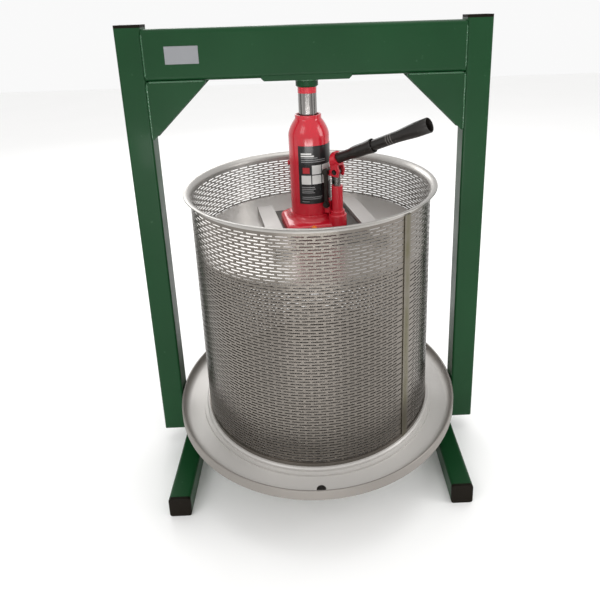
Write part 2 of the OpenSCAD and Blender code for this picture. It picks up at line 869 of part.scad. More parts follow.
upright_left();
upright_right();
top_beam();
corner_gussets();
beam_strip();
ram_boss();
rating_plate();
upright_caps();
foot_left();
foot_right();
foot_caps();
lower_tie();
tray_arms();
tray_pan();
base_plate();
drain_spout();
basket_shell();
basket_rim();
basket_hoop();
basket_seam();
press_plate();
plate_bars();
jack_pad();
jack_base();
reservoir();
gland_bush();
cylinder_tube();
jack_label();
filler_plug();
pump_barrel();
link_plates();
link_pins();
release_valve();
ram_rod();
ram_piston();
piston_seal();
ram_saddle();
pump_plunger();
plunger_pin();
handle_socket();
handle_inner();
handle_outer();
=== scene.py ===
"""Looks of the hydraulic fruit press: finishes, fine forms, floor, light and camera round the CAD frame."""

import math

import bmesh
import bpy
import numpy as np
from mathutils import Matrix, Vector


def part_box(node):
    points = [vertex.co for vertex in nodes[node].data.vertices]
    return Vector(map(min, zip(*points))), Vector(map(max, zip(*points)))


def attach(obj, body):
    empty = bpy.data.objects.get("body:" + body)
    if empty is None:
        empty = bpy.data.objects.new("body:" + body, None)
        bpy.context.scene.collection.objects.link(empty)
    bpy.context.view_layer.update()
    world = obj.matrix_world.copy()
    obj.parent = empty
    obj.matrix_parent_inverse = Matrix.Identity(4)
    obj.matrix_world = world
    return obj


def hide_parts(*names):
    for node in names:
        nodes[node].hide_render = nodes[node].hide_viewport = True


MM = 0.001
TURN = 2 * math.pi
QUARTER = math.pi / 2

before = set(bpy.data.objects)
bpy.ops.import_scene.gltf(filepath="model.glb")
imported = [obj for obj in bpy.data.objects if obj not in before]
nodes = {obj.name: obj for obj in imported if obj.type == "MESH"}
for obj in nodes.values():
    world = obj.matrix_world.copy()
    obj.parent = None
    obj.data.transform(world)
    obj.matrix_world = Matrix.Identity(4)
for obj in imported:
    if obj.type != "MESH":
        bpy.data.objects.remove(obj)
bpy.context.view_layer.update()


# Shader nodes


def node(tree, kind, links=None, **settings):
    """Adds a node. Each link gives an input a plain value or another node's output."""
    made = tree.nodes.new(kind)
    for key, value in settings.items():
        setattr(made, key, value)
    for socket, source in (links or {}).items():
        if isinstance(source, bpy.types.NodeSocket):
            tree.links.new(source, made.inputs[socket])
        else:
            made.inputs[socket].default_value = source
    return made


def math_node(tree, operation, *values):
    return node(tree, "ShaderNodeMath", dict(enumerate(values)), operation=operation).outputs[0]


def times(tree, a, b):
    return math_node(tree, "MULTIPLY", a, b)


def object_point(tree):
    return node(tree, "ShaderNodeTexCoord").outputs["Object"]


def point_parts(tree):
    return node(tree, "ShaderNodeSeparateXYZ", {0: object_point(tree)}).outputs


def axis_distance(tree):
    x, y, _ = point_parts(tree)
    return math_node(tree, "SQRT", math_node(tree, "ADD", times(tree, x, x), times(tree, y, y)))


def axis_angle(tree):
    x, y, _ = point_parts(tree)
    return math_node(tree, "ARCTAN2", y, x)


def clouds(tree, scale, detail, point=None):
    """Noise over the piece itself, or over the point that is given."""
    if point is None:
        point = object_point(tree)
    links = {"Vector": point, "Scale": scale, "Detail": detail}
    return node(tree, "ShaderNodeTexNoise", links).outputs[0]


def spread(tree, value, low, high, to_low=0.0, to_high=1.0, curve="LINEAR"):
    """Stretches what lies between low and high over another range."""
    links = {0: value, 1: low, 2: high, 3: to_low, 4: to_high}
    return node(tree, "ShaderNodeMapRange", links, interpolation_type=curve).outputs[0]


def mix_in(tree, start, second, mask):
    """Brings a group's second colour in over its first, by a mask and the group's amount."""
    factor = times(tree, mask, start.outputs["Amount"])
    links = {0: factor, 6: start.outputs["Colour"], 7: start.outputs[second]}
    return node(tree, "ShaderNodeMix", links, data_type="RGBA").outputs[2]


# Shader groups

SPECK_EDGE = 0.04
REFLECTION_DRIFT = 4.0
PATCH_SCALE = 26.0


def build_mottle(tree, start):
    noise = clouds(tree, start.outputs["Scale"], 5.0)
    return mix_in(tree, start, "Shade", spread(tree, noise, 0.35, 0.7))


def build_range(tree, start):
    noise = clouds(tree, start.outputs["Scale"], 4.0)
    return spread(tree, noise, 0.3, 0.7, start.outputs["Low"], start.outputs["High"])


def build_brushed(tree, start):
    links = {0: object_point(tree), 1: start.outputs["Stretch"]}
    lines = node(tree, "ShaderNodeVectorMath", links, operation="MULTIPLY").outputs[0]
    return clouds(tree, 1.0, 3.0, lines)


def build_turned(tree, start):
    links = {
        0: times(tree, axis_distance(tree), start.outputs["Scale"]),
        1: times(tree, point_parts(tree)[2], start.outputs["Scale"]),
        2: times(tree, axis_angle(tree), start.outputs["Run"]),
    }
    lines = node(tree, "ShaderNodeCombineXYZ", links).outputs[0]
    return clouds(tree, 1.0, 3.0, lines)


def build_specks(tree, start):
    level = start.outputs["Level"]
    noise = clouds(tree, start.outputs["Scale"], 6.0)
    mask = spread(tree, noise, level, math_node(tree, "ADD", level, SPECK_EDGE))
    return mix_in(tree, start, "Speck", mask)


# Painted reflections: darker lines round an upright rod, standing in for the dark room that chrome mirrors.
def build_reflection_streaks(tree, start):
    links = {
        0: times(tree, axis_angle(tree), start.outputs["Scale"]),
        1: times(tree, point_parts(tree)[2], REFLECTION_DRIFT),
    }
    lines = node(tree, "ShaderNodeCombineXYZ", links).outputs[0]
    return mix_in(tree, start, "Streak", spread(tree, clouds(tree, 1.0, 3.0, lines), 0.42, 0.60))


# Painted shade and light: a second colour laid on by distance from the upright axis.
def build_ring_shade_and_light(tree, start):
    sockets = start.outputs
    band = spread(tree, axis_distance(tree), sockets["From"], sockets["To"], curve="SMOOTHSTEP")
    return mix_in(tree, start, "Tint", band)


def build_seam_tint(tree, start):
    beside = math_node(tree, "SUBTRACT", axis_angle(tree), start.outputs["Angle"])
    away = math_node(tree, "ABSOLUTE", beside)
    band = spread(tree, away, start.outputs["Width"], 0.0, curve="SMOOTHSTEP")
    patches = spread(tree, clouds(tree, PATCH_SCALE, 4.0), 0.3, 0.62, to_low=0.45)
    return mix_in(tree, start, "Tint", times(tree, band, patches))


COLOUR, VALUE, VECTOR = "NodeSocketColor", "NodeSocketFloat", "NodeSocketVector"
WHITE = (1, 1, 1, 1)


def make_group(name, inputs, output, build):
    tree = bpy.data.node_groups.new(name, "ShaderNodeTree")
    for label, kind, value in inputs:
        socket = tree.interface.new_socket(label, in_out="INPUT", socket_type=kind)
        socket.default_value = value
    label, kind = output
    tree.interface.new_socket(label, in_out="OUTPUT", socket_type=kind)
    start, end = tree.nodes.new("NodeGroupInput"), tree.nodes.new("NodeGroupOutput")
    tree.links.new(build(tree, start), end.inputs[label])
    return tree


def colour_group(name, build, second, **values):
    """A group that brings a second colour in over the first."""
    inputs = [("Colour", COLOUR, WHITE), (second, COLOUR, WHITE)]
    inputs += [(label, VALUE, value) for label, value in values.items()]
    return make_group(name, inputs, ("Colour", COLOUR), build)


GROUPS = {
    "mottle": colour_group("Mottle", build_mottle, "Shade", Scale=8, Amount=0.5),
    "specks": colour_group("Specks", build_specks, "Speck", Scale=60, Level=0.66, Amount=0.6),
    "reflection_streaks": colour_group("Streaks", build_reflection_streaks, "Streak", Scale=5, Amount=0.6),
    "ring": colour_group("Ring shade and light", build_ring_shade_and_light, "Tint", From=0.0, To=0.1, Amount=0.7),
    "seam": colour_group("Seam tint", build_seam_tint, "Tint", Angle=0.0, Width=0.1, Amount=0.7),
    "range": make_group(
        "Roughness range",
        [("Low", VALUE, 0.3), ("High", VALUE, 0.5), ("Scale", VALUE, 12)],
        ("Value", VALUE),
        build_range,
    ),
    "brushed": make_group(
        "Brushed lines", [("Stretch", VECTOR, (10, 900, 900))], ("Height", VALUE), build_brushed
    ),
    "turned": make_group(
        "Turned lines", [("Scale", VALUE, 900), ("Run", VALUE, 2)], ("Height", VALUE), build_turned
    ),
}


# Finishes

COAT_ROUGHNESS = 0.08
ACROSS_THE_LINES = 0.25
GRAIN_SCALE, GRAIN_DETAIL = 220.0, 2.0
EDGE_SAMPLES = 4


def rgba(colour):
    return (*colour, 1.0)


def use(tree, name, **values):
    """Places a group in a material with its own values."""
    return node(tree, "ShaderNodeGroup", values, node_tree=GROUPS[name]).outputs[0]


def material(
    name,
    colour,
    shade,
    rough,
    metallic=0.0,
    coat=0.0,
    mottle=(9.0, 0.5),
    specks=None,
    seam=None,
    ring=None,
    reflection_streaks=None,
    lines=None,
    bump=(0.1, 0.0002),
    edge=0.0,
    gloss=0.5,
    brushed=0.0,
):
    """A finish with mottled colour, varied roughness and a fine surface.

    rough is (low, high, scale); mottle is (scale, amount); specks is (colour, scale, level, amount);
    seam is (tint, angle, width, amount); ring is (tint, from radius, to radius, amount) for painted shade
    and light by distance from the axis; streaks is (colour, scale, amount) for painted reflections in lines
    along an upright rod; bump is (strength, depth);
    lines names a group and its values for the bump, which is plain grain if it is left out;
    edge is the radius of softened edges.
    """
    mat = bpy.data.materials.new(name)
    mat.use_nodes = True
    tree = mat.node_tree
    shader = tree.nodes["Principled BSDF"]
    shader.inputs["Metallic"].default_value = metallic
    shader.inputs["Coat Weight"].default_value = coat
    shader.inputs["Coat Roughness"].default_value = COAT_ROUGHNESS
    shader.inputs["Specular IOR Level"].default_value = gloss
    shader.inputs["Anisotropic"].default_value = brushed
    shader.inputs["Anisotropic Rotation"].default_value = ACROSS_THE_LINES

    scale, amount = mottle
    out = use(tree, "mottle", Colour=rgba(colour), Shade=rgba(shade), Scale=scale, Amount=amount)
    # Painted reflections in lines round an upright rod.
    if reflection_streaks:
        reflection_colour, scale, amount = reflection_streaks
        out = use(tree, "reflection_streaks", Colour=out, Streak=rgba(reflection_colour), Scale=scale, Amount=amount)
    if seam:
        tint, angle, width, amount = seam
        out = use(tree, "seam", Colour=out, Tint=rgba(tint), Angle=angle, Width=width, Amount=amount)
    # Painted shade and light by distance from the axis.
    if ring:
        tint, near, far, amount = ring
        out = use(tree, "ring", Colour=out, Tint=rgba(tint), From=near, To=far, Amount=amount)
    if specks:
        speck, scale, level, amount = specks
        out = use(
            tree, "specks", Colour=out, Speck=rgba(speck), Scale=scale, Level=level, Amount=amount
        )
    tree.links.new(out, shader.inputs["Base Color"])

    low, high, scale = rough
    roughness = use(tree, "range", Low=low, High=high, Scale=scale)
    tree.links.new(roughness, shader.inputs["Roughness"])

    if lines:
        group, values = lines
        height = use(tree, group, **values)
    else:
        height = clouds(tree, GRAIN_SCALE, GRAIN_DETAIL)
    strength, depth = bump
    relief = node(
        tree, "ShaderNodeBump", {"Height": height, "Strength": strength, "Distance": depth}
    )
    if edge:
        soft = node(tree, "ShaderNodeBevel", {"Radius": edge}, samples=EDGE_SAMPLES)
        tree.links.new(soft.outputs[0], relief.inputs["Normal"])
    tree.links.new(relief.outputs[0], shader.inputs["Normal"])
    return mat


SEAM_TURN = 44
SEAM_ANGLE = math.radians(SEAM_TURN - 90)
TURNED = ("turned", {"Scale": 900.0, "Run": 3.0})
FOIL = {"rough": (0.3, 0.42, 40), "mottle": (60.0, 0.5)}
MATS = {
    "green": material(
        "green_paint", (0.006, 0.047, 0.014), (0.004, 0.035, 0.010), (0.28, 0.42, 14),
        coat=0.04, mottle=(5.0, 0.8), specks=((0.05, 0.11, 0.06), 90.0, 0.70, 0.35),
        bump=(0.12, 0.0003), edge=0.0012, gloss=0.15,
    ),
    "black": material(
        "black_plastic", (0.006, 0.0045, 0.0025), (0.011, 0.008, 0.005), (0.42, 0.60, 20),
        specks=((0.08, 0.07, 0.06), 120.0, 0.68, 0.4), bump=(0.15, 0.0003), edge=0.0015, gloss=0.07,
    ),
    # The tray's steel takes a darker tint from its bend outwards: painted shade on the curved wall and hem.
    "steel": material(
        "tray_steel", (0.60, 0.58, 0.555), (0.53, 0.51, 0.485), (0.42, 0.54, 7), metallic=0.40,
        mottle=(6.0, 0.6), ring=((0.20, 0.182, 0.163), 0.266, 0.279, 0.9),
        lines=TURNED, bump=(0.05, 0.0002), brushed=0.75,
    ),
    # The basket's steel is darker and warmer than bare steel: a painted reflection of a brown floor. The ring
    # makes its inner face lighter: painted light. The band at the seam is the sheet's discolouration.
    "basket": material(
        "basket_steel", (0.205, 0.186, 0.166), (0.145, 0.130, 0.114), (0.24, 0.38, 6), metallic=1.0,
        mottle=(4.0, 0.7), seam=((0.105, 0.096, 0.048), SEAM_ANGLE, 0.065, 0.85),
        ring=((0.50, 0.485, 0.47), 0.2260, 0.2250, 0.9), lines=TURNED, bump=(0.06, 0.0002), brushed=0.7,
    ),
    "rim": material(
        "rim_steel", (0.43, 0.415, 0.395), (0.34, 0.325, 0.305), (0.30, 0.44, 8), metallic=1.0,
        mottle=(6.0, 0.6), lines=TURNED, bump=(0.05, 0.0002), brushed=0.4,
    ),
    "plate": material(
        "plate_steel", (0.50, 0.48, 0.46), (0.39, 0.37, 0.35), (0.28, 0.40, 5), metallic=1.0,
        mottle=(5.0, 0.6), lines=TURNED, bump=(0.02, 0.0002), edge=0.0008, brushed=0.4,
    ),
    "bar": material(
        "bar_steel", (0.47, 0.45, 0.435), (0.38, 0.36, 0.345), (0.42, 0.56, 10), metallic=1.0,
        lines=("brushed", {"Stretch": (500.0, 60.0, 900.0)}), bump=(0.05, 0.0002), edge=0.001,
    ),
    # The drain spout is near black: painted shade for the dark hole of the drain.
    "drain": material(
        "drain_painted_shade", (0.030, 0.027, 0.024), (0.045, 0.040, 0.036), (0.45, 0.60, 30),
        metallic=0.6, gloss=0.2,
    ),
    "dark": material(
        "dark_steel", (0.065, 0.058, 0.052), (0.035, 0.030, 0.027), (0.34, 0.5, 20), metallic=1.0,
        specks=((0.11, 0.05, 0.025), 70.0, 0.64, 0.5), bump=(0.15, 0.0002), edge=0.0006,
    ),
    "red": material(
        "red_paint", (0.52, 0.010, 0.024), (0.40, 0.006, 0.017), (0.16, 0.28, 10),
        coat=0.4, mottle=(7.0, 0.6), specks=((0.22, 0.02, 0.02), 110.0, 0.70, 0.4),
        bump=(0.10, 0.0003), edge=0.0012, gloss=0.4,
    ),
    # Chrome: its dark base colour and darker lines are painted reflections of a dark room; the turned lines
    # in the bump are the rod's own.
    "chrome": material(
        "chrome_rod", (0.32, 0.305, 0.295), (0.25, 0.24, 0.232), (0.12, 0.22, 30), metallic=1.0,
        reflection_streaks=((0.10, 0.092, 0.088), 4.0, 0.8), lines=TURNED, bump=(0.03, 0.0001), brushed=0.5,
    ),
    "orange": material(
        "orange_paint", (0.86, 0.23, 0.015), (0.68, 0.15, 0.012), (0.24, 0.36, 20),
        coat=0.4, edge=0.0008,
    ),
    "rubber": material("seal_rubber", (0.02, 0.02, 0.02), (0.03, 0.03, 0.03), (0.6, 0.75, 30)),
    "handle": material(
        "handle_black", (0.008, 0.0065, 0.0055), (0.015, 0.0125, 0.0105), (0.30, 0.44, 26),
        coat=0.06, specks=((0.12, 0.10, 0.085), 130.0, 0.67, 0.35), bump=(0.16, 0.0003), gloss=0.35,
    ),
    "worn": material(
        "worn_rings", (0.15, 0.14, 0.13), (0.07, 0.064, 0.06), (0.36, 0.5, 60),
        metallic=0.6, mottle=(60.0, 0.8),
    ),
    "rating": material(
        "rating_foil", (0.215, 0.22, 0.23), (0.17, 0.175, 0.185), (0.40, 0.52, 30), metallic=0.2,
        lines=("brushed", {"Stretch": (900.0, 60.0, 60.0)}), bump=(0.05, 0.0001),
    ),
    "label": material(
        "label_black", (0.010, 0.010, 0.010), (0.017, 0.017, 0.018), (0.24, 0.34, 40),
        coat=0.1, gloss=0.35,
    ),
    "tile": material("label_tile", (0.66, 0.65, 0.63), (0.55, 0.54, 0.52), **FOIL),
    "tile_grey": material("label_grey", (0.25, 0.25, 0.25), (0.18, 0.18, 0.18), **FOIL),
    "tile_red": material("label_red", (0.46, 0.02, 0.025), (0.38, 0.015, 0.02), **FOIL),
    # The weld beads are a lighter copy of the frame's green: a painted highlight where the beads catch the
    # light.
    "weld": material(
        "weld_paint_highlight", (0.011, 0.076, 0.025), (0.007, 0.055, 0.017), (0.18, 0.30, 60),
        coat=0.3, mottle=(60.0, 0.6),
    ),
}

PAINT = {
    "green": "upright_left upright_right top_beam corner_gussets beam_strip ram_boss"
    " foot_left foot_right lower_tie tray_arms",
    "black": "upright_caps foot_caps",
    "steel": "tray_pan base_plate",
    "drain": "drain_spout",
    "basket": "basket_shell basket_hoop basket_seam",
    "rim": "basket_rim",
    "plate": "press_plate",
    "bar": "plate_bars",
    # The pad under the jack is dark steel; its darkness is partly painted shade, where the jack's shade and
    # dark reflection lie on the plate.
    "dark": "jack_pad gland_bush cylinder_tube link_plates link_pins ram_piston plunger_pin",
    "red": "jack_base reservoir filler_plug pump_barrel ram_saddle handle_socket",
    "chrome": "ram_rod pump_plunger",
    "orange": "release_valve",
    "rubber": "piston_seal",
    "handle": "handle_inner handle_outer",
    "rating": "rating_plate",
    "label": "jack_label",
}
for finish, names in PAINT.items():
    for name in names.split():
        data = nodes[name].data
        data.materials.clear()
        data.materials.append(MATS[finish])


# Form helpers: millimetres in, metres out


def piece(name, points, faces, mat, body, slot, stands_for=(), sharp=32.0, place=None):
    data = bpy.data.meshes.new(name)
    data.from_pydata([tuple(MM * c for c in p) for p in points], [], faces)
    data.validate()
    shell = bmesh.new()
    shell.from_mesh(data)
    bmesh.ops.recalc_face_normals(shell, faces=shell.faces[:])
    shell.to_mesh(data)
    shell.free()
    if place is not None:
        data.transform(place)
    data.materials.append(MATS[mat])
    data.shade_smooth()
    data.set_sharp_from_angle(angle=math.radians(sharp))
    obj = bpy.data.objects.new(name, data)
    bpy.context.scene.collection.objects.link(obj)
    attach(obj, body)
    if stands_for:
        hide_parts(*stands_for)
    return obj


def joined(meshes):
    points, faces = [], []
    for more_points, more_faces in meshes:
        faces += [tuple(i + len(points) for i in face) for face in more_faces]
        points += more_points
    return points, faces


def moved(mesh, place):
    points, faces = mesh
    return [tuple((place @ Vector([c * MM for c in p])) / MM) for p in points], faces


def arc(cx, cz, r, start, end, steps=8):
    angles = [math.radians(start + (end - start) * i / steps) for i in range(steps + 1)]
    return [(cx + r * math.cos(a), cz + r * math.sin(a)) for a in angles]


def prism(outline, y0, y1):
    """A flat (x, z) outline as a block between two depths."""
    n = len(outline)
    points = [(x, y, z) for y in (y0, y1) for x, z in outline]
    faces = [tuple(range(n)), tuple(range(2 * n - 1, n - 1, -1))]
    faces += [(i, i + n, (i + 1) % n + n, (i + 1) % n) for i in range(n)]
    return points, faces


def lathe_mesh(profile, segments=128):
    """Turns a closed (r, z) outline about Z into a solid ring; points on the axis are shared."""
    points, rings, faces = [], [], []
    for r, z in profile:
        first = len(points)
        if r < 1e-6:
            rings.append([first] * segments)
            points.append((0.0, 0.0, z))
        else:
            rings.append(list(range(first, first + segments)))
            angles = [TURN * i / segments for i in range(segments)]
            points += [(r * math.cos(a), r * math.sin(a), z) for a in angles]
    for a, b in zip(rings, rings[1:] + rings[:1]):
        for i in range(segments):
            j = (i + 1) % segments
            face = list(dict.fromkeys((a[i], a[j], b[j], b[i])))
            if len(face) > 2:
                faces.append(face)
    return points, faces


def loft_faces(rings, sides):
    """The skin over a row of rings with as many points each, with flat ends."""
    faces = []
    for k in range(0, (rings - 1) * sides, sides):
        for i in range(sides):
            j = (i + 1) % sides
            faces.append((k + i, k + j, k + sides + j, k + sides + i))
    faces.append(tuple(range(sides))[::-1])
    faces.append(tuple((rings - 1) * sides + i for i in range(sides)))
    return faces


def drilled(mesh, x, y, radius, low, high):
    """Cuts an upright round hole into a closed mesh."""
    points, faces = lathe_mesh([(0, low), (radius, low), (radius, high), (0, high)], 48)
    drill = ([(px + x, py + y, pz) for px, py, pz in points], faces)
    pair = []
    for name, (shape_points, shape_faces) in (("block", mesh), ("drill", drill)):
        data = bpy.data.meshes.new(name)
        data.from_pydata(shape_points, [], shape_faces)
        obj = bpy.data.objects.new(name, data)
        bpy.context.scene.collection.objects.link(obj)
        pair.append(obj)
    cut = pair[0].modifiers.new("drill", "BOOLEAN")
    cut.operation, cut.solver, cut.object = "DIFFERENCE", "EXACT", pair[1]
    shape = pair[0].evaluated_get(bpy.context.evaluated_depsgraph_get()).to_mesh()
    result = [tuple(v.co) for v in shape.vertices], [tuple(p.vertices) for p in shape.polygons]
    for obj in pair:
        bpy.data.meshes.remove(obj.data)
    return result


# Sizes from the frame, in millimetres


def corners(name):
    """Lowest and highest corner of a CAD node, rounded to a thousandth."""
    return [[round(c / MM, 3) for c in corner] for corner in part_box(name)]


(UPRIGHT_IN, _, _), _ = corners("upright_right")
(_, _, BEAM_LOW), (_, FRAME_FRONT, BEAM_TOP) = corners("top_beam")
(_, _, STRIP_LOW), (STRIP_HALF, _, _) = corners("beam_strip")
(_, _, GUSSET_LOW), _ = corners("corner_gussets")
_, (RAM_BOSS_R, _, _) = corners("ram_boss")
(_, _, BASKET_LOW), (BASKET_R, _, _) = corners("basket_shell")
(_, _, RIM_LOW), (RIM_R, _, RIM_TOP) = corners("basket_rim")
(_, _, BASE_LOW), (_, _, LUG_TOP) = corners("jack_base")
(_, _, TANK_LOW), (TANK_R, _, NECK_TOP) = corners("reservoir")
(_, _, LABEL_LOW), (_, _, LABEL_TOP) = corners("jack_label")
(_, _, CYLINDER_LOW), (CYLINDER_R, _, _) = corners("cylinder_tube")
(_, _, BARREL_LOW), _ = corners("pump_barrel")
(_, _, TRAY_LOW), (TRAY_R, _, _) = corners("tray_pan")
(_, _, TRAY_FLOOR), _ = corners("base_plate")
(_, SPOUT_FRONT, _), (SPOUT_R, SPOUT_BACK, _) = corners("drain_spout")


# Places of the jack, its pump and its handle, in millimetres and degrees

JACK_TURN, PUMP_TURN, PUMP_OUT = 12, -36, 61.0
HANDLE_BACK, HANDLE_Z, HANDLE_LIFT = 4.5, 630.2, 24


def rotation(axis, degrees):
    return Matrix.Rotation(math.radians(degrees), 4, axis)


def offset(x, z=0.0):
    return Matrix.Translation((x * MM, 0, z * MM))


JACK = rotation("Z", JACK_TURN)
PUMP = rotation("Z", PUMP_TURN) @ offset(PUMP_OUT)
HANDLE = PUMP @ offset(-HANDLE_BACK, HANDLE_Z) @ rotation("Y", 90 - HANDLE_LIFT)


# Basket

SHEET = 2.0
RIM_H, RIM_REACH = RIM_TOP - RIM_LOW, RIM_R - SHEET / 2 - BASKET_R
SLOT_H, SLOT_ARC = 2.1, 20.9
SLOT_PITCH_Z, SLOT_PITCH_ARC = 5.43, 25.1
SEAM_MARGIN, LOW_MARGIN, TOP_MARGIN = 10.8, 9.0, 4.0


def basket_wall():
    """The rolled sheet: plain bands between staggered rows, webs between slots, walls in the slots."""
    low, high = BASKET_LOW, RIM_LOW
    first, last = low + LOW_MARGIN, high - TOP_MARGIN - SLOT_H
    rows = int((last - first) / SLOT_PITCH_Z) + 1
    web = SLOT_PITCH_ARC - SLOT_ARC
    sweep = TURN * BASKET_R - 2 * SEAM_MARGIN
    count = int((sweep + web) / SLOT_PITCH_ARC)
    spare = (sweep - (count * SLOT_PITCH_ARC - web)) / 2
    points, faces = [], []

    def circle(angles, z):
        start = len(points)
        for radius in (BASKET_R, BASKET_R - SHEET):
            points.extend((radius * math.cos(a), radius * math.sin(a), z) for a in angles)
        return start, start + len(angles), list(angles)

    def strip(lower, upper):
        """Joins two circles with different angles on the outside and on the inside."""
        (lo, li, la), (uo, ui, ua) = lower, upper
        i = j = 0
        n, m = len(la), len(ua)
        while i < n or j < m:
            a_next = la[i + 1] if i + 1 < n else la[0] + TURN
            b_next = ua[j + 1] if j + 1 < m else ua[0] + TURN
            if j >= m or (i < n and a_next <= b_next):
                here, after, over = i % n, (i + 1) % n, j % m
                faces.append((lo + here, lo + after, uo + over))
                faces.append((li + after, li + here, ui + over))
                i += 1
            else:
                under, after, here = i % n, (j + 1) % m, j % m
                faces.append((lo + under, uo + after, uo + here))
                faces.append((li + under, ui + here, ui + after))
                j += 1

    def row_angles(odd):
        number = count - 1 if odd else count
        start = SEAM_MARGIN + spare + (SLOT_PITCH_ARC / 2 if odd else 0.0)
        edges = []
        for i in range(number):
            a = start + i * SLOT_PITCH_ARC
            edges += [a, a + SLOT_ARC]
        plain_start, plain_end = edges[-1], edges[0] + TURN * BASKET_R
        plain = [plain_start + (plain_end - plain_start) * k / 4 for k in (1, 2, 3)]
        return [SEAM_ANGLE + e / BASKET_R for e in edges + plain], number

    base_angles, _ = row_angles(False)
    bottom = previous = circle(base_angles, low)
    for row in range(rows):
        angles, number = row_angles(row % 2 == 1)
        z = first + row * SLOT_PITCH_Z
        under, over = circle(angles, z), circle(angles, z + SLOT_H)
        strip(previous, under)
        (uo, ui, _), (oo, oi, _) = under, over
        slots = {2 * i for i in range(number)}
        for i in range(len(angles)):
            j = (i + 1) % len(angles)
            if i in slots:
                faces.append((uo + i, uo + j, ui + j, ui + i))
                faces.append((oo + j, oo + i, oi + i, oi + j))
                faces.append((uo + i, ui + i, oi + i, oo + i))
                faces.append((uo + j, oo + j, oi + j, ui + j))
            else:
                faces.append((uo + i, uo + j, oo + j, oo + i))
                faces.append((ui + j, ui + i, oi + i, oi + j))
        previous = over
    top = circle(base_angles, high)
    strip(previous, top)
    n = len(base_angles)
    for (outer, inner, _), flip in ((bottom, False), (top, True)):
        for i in range(n):
            j = (i + 1) % n
            face = (outer + i, inner + i, inner + j, outer + j)
            faces.append(face[::-1] if flip else face)
    return points, faces


def basket_lip():
    """The rim: the sheet turned outwards in a quarter round, with a rounded edge."""
    steps = 14
    angles = [QUARTER * i / steps for i in range(steps + 1)]

    def quarter(start, width, height):
        return [(start + width * (1 - math.cos(a)), RIM_LOW + height * math.sin(a)) for a in angles]

    upper = quarter(BASKET_R - SHEET, RIM_REACH + SHEET, RIM_H)
    lower = quarter(BASKET_R, RIM_REACH, RIM_H - SHEET)
    edge = arc(BASKET_R + RIM_REACH, RIM_TOP - SHEET / 2, SHEET / 2, 90, -90, 6)[1:-1]
    return lathe_mesh(upper + edge + lower[::-1], 192)


piece("basket_wall", *basket_wall(), "basket", "basket", "stainless", ["basket_shell"])
piece("basket_lip", *basket_lip(), "rim", "basket", "stainless", ["basket_rim"])


# Jack tank and foot

TANK_WALL, TANK_STRAIGHT, SHOULDER_H, SHOULDER_CURVE = 3.0, 20.0, 32.0, 1.7
NECK_R, NECK_IN, NECK_H = 24.55, 20.55, 8.0
NECK_STEP, NECK_STEP_H = 0.2, 1.5
NECK_EDGE, NECK_EDGE_IN, NECK_DEPTH = 1.2, 1.0, 9.0
FOOT_X, FOOT_Y, FOOT_CORNER, FOOT_EDGE = 54.0, 56.0, 20.0, 1.2
FOOT_LEVELS = [(0.0, 0.0), (1.5, FOOT_EDGE), (14.0, FOOT_EDGE), (17.5, -0.6), (20.0, -4.0)]
SKIRT_R, SKIRT_LOW, FOOT_H = 41.5, 20.0, TANK_LOW - BASE_LOW
SEAT_R, SEAT_DEPTH = CYLINDER_R + 0.1, TANK_LOW - CYLINDER_LOW
BORE_R, BORE_FOOT, DRILL_TOP = 10.6, BARREL_LOW - BASE_LOW, 60.0
BOSS_R, BOSS_STRAIGHT, BOSS_WALL, BOSS_EDGE = 17.0, 30.0, 33.5, 2.5
COLLAR_R, COLLAR_WALL, COLLAR_EDGE = 13.5, 41.5, 1.5
LUG_X, LUG_Y, LUG_Z = (-22.0, -10.9), (-11.1, 11.1), (LUG_TOP - 24.0, LUG_TOP)


def jack_tank():
    """The reservoir: a straight wall, a curved shoulder and a neck with rounded edges."""
    shoulder_z, steps = NECK_TOP - NECK_H - SHOULDER_H, 20
    neck_z = shoulder_z + SHOULDER_H
    outline = [(TANK_R - TANK_WALL, TANK_LOW), (TANK_R, TANK_LOW), (TANK_R, shoulder_z - TANK_STRAIGHT)]
    for i in range(steps):
        t = i / steps
        r = NECK_R + (TANK_R - NECK_R) * (1 - t**SHOULDER_CURVE)
        outline.append((r, shoulder_z + SHOULDER_H * t))
    outline += [(NECK_R + NECK_STEP, neck_z), (NECK_R, neck_z + NECK_STEP_H), (NECK_R, NECK_TOP - NECK_EDGE)]
    outline += arc(NECK_R - NECK_EDGE, NECK_TOP - NECK_EDGE, NECK_EDGE, 0, 90, 4)
    outline += arc(NECK_IN + NECK_EDGE_IN, NECK_TOP - NECK_EDGE_IN, NECK_EDGE_IN, 90, 180, 4)
    outline.append((NECK_IN, NECK_TOP - NECK_DEPTH))
    return lathe_mesh(outline, 128)


